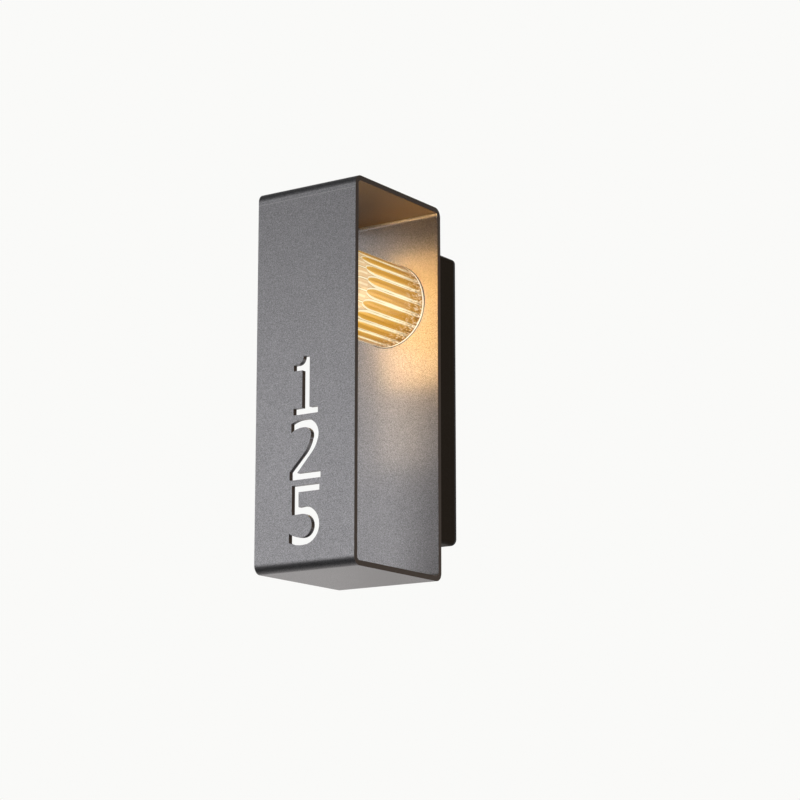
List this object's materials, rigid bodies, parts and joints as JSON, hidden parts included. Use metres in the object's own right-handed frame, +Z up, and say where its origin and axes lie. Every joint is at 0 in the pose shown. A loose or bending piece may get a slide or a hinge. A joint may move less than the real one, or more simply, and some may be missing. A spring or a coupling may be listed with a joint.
{
  "type": "outdoor wall light",
  "caption": "Outdoor wall light: folded metal frame with a cut-out house number, fluted glass lamp cover between its plates, slim wall box behind.",
  "frame": {"origin": "centre of the face that lies on the wall, at the middle of the light's height and width", "axes": "+X to the right seen from the front, +Y into the wall, +Z up; the front faces -Y"},
  "size_m": [0.093, 0.1465, 0.3],
  "materials": {
    "graphite_coat": "fine speckled powder coat",
    "black_coat": "satin black coat",
    "zinc_steel": "bright zinc plate",
    "black_steel": "blackened",
    "clear_glass": "clear pressed glass",
    "black_polymer": "moulded",
    "black_rubber": "soft moulded rubber",
    "silicone": "white silicone",
    "foam": "closed-cell foam",
    "polished_aluminium": "polished",
    "steatite": "unglazed steatite",
    "brass": "machined",
    "white_polymer": "moulded",
    "board_white": "white solder mask",
    "lit_chip": "lit phosphor",
    "frosted_silicone": "frosted, lit from inside",
    "live_sleeve": "sleeved lead",
    "neutral_sleeve": "sleeved lead",
    "earth_sleeve": "sleeved lead"
  },
  "bodies": {
    "bracket": {"wall_bracket": "zinc_steel", "bracket_nuts": "zinc_steel", "bracket_earth_screw": "zinc_steel", "cable_grommet": "black_rubber", "wall_gasket": "foam"},
    "light_body": {"number_frame": "graphite_coat", "frame_studs": "zinc_steel", "frame_washers": "zinc_steel", "frame_nuts": "zinc_steel", "wall_box": "black_coat", "seat_gasket": "black_rubber", "glass_seat_ring": "black_polymer", "glass_gasket": "silicone", "lamp_plate": "zinc_steel", "lamp_plate_screws": "zinc_steel", "reflector": "polished_aluminium", "lampholder_body": "steatite", "lampholder_contacts": "brass", "lampholder_screws": "zinc_steel", "terminal_block": "white_polymer", "terminal_clamps": "brass", "terminal_screws": "zinc_steel", "terminal_fixing_screws": "zinc_steel", "live_lead": "live_sleeve", "neutral_lead": "neutral_sleeve", "earth_lead": "earth_sleeve", "earth_tag": "zinc_steel", "earth_screw": "zinc_steel"},
    "glass_neck": {"glass_collar": "black_polymer"},
    "glass": {"glass_shade": "clear_glass"},
    "lamp": {"lamp_base": "white_polymer", "lamp_pins": "zinc_steel", "lamp_board": "board_white", "lamp_chips": "lit_chip", "lamp_envelope": "frosted_silicone"},
    "top_screw": {"clamp_screw_top": "black_steel"},
    "bottom_screw": {"clamp_screw_bottom": "black_steel"}
  },
  "joints": [
    {"name": "body_lift_off", "type": "slide", "parent": "bracket", "child": "light_body", "axis": [0, -1, 0], "range_m": [0, 0.04]},
    {"name": "glass_travel", "type": "slide", "parent": "light_body", "child": "glass_neck", "axis": [0, -1, 0], "range_m": [0, 0.008]},
    {"name": "glass_turn", "type": "hinge", "parent": "glass_neck", "child": "glass", "pos_m": [0, -0.0785, 0.0758], "axis": [0, -1, 0], "range_deg": [0, 720]},
    {"name": "lamp_pull", "type": "slide", "parent": "light_body", "child": "lamp", "axis": [0, -1, 0], "range_m": [0, 0.018]},
    {"name": "top_screw_out", "type": "slide", "parent": "bracket", "child": "top_screw", "axis": [0, 0, 1], "range_m": [0, 0.003]},
    {"name": "bottom_screw_out", "type": "slide", "parent": "bracket", "child": "bottom_screw", "axis": [0, 0, -1], "range_m": [0, 0.003]}
  ],
  "couplings": [
    {"joint": "glass_travel", "follows": "glass_turn", "m_per_rad": 0.000636}
  ]
}
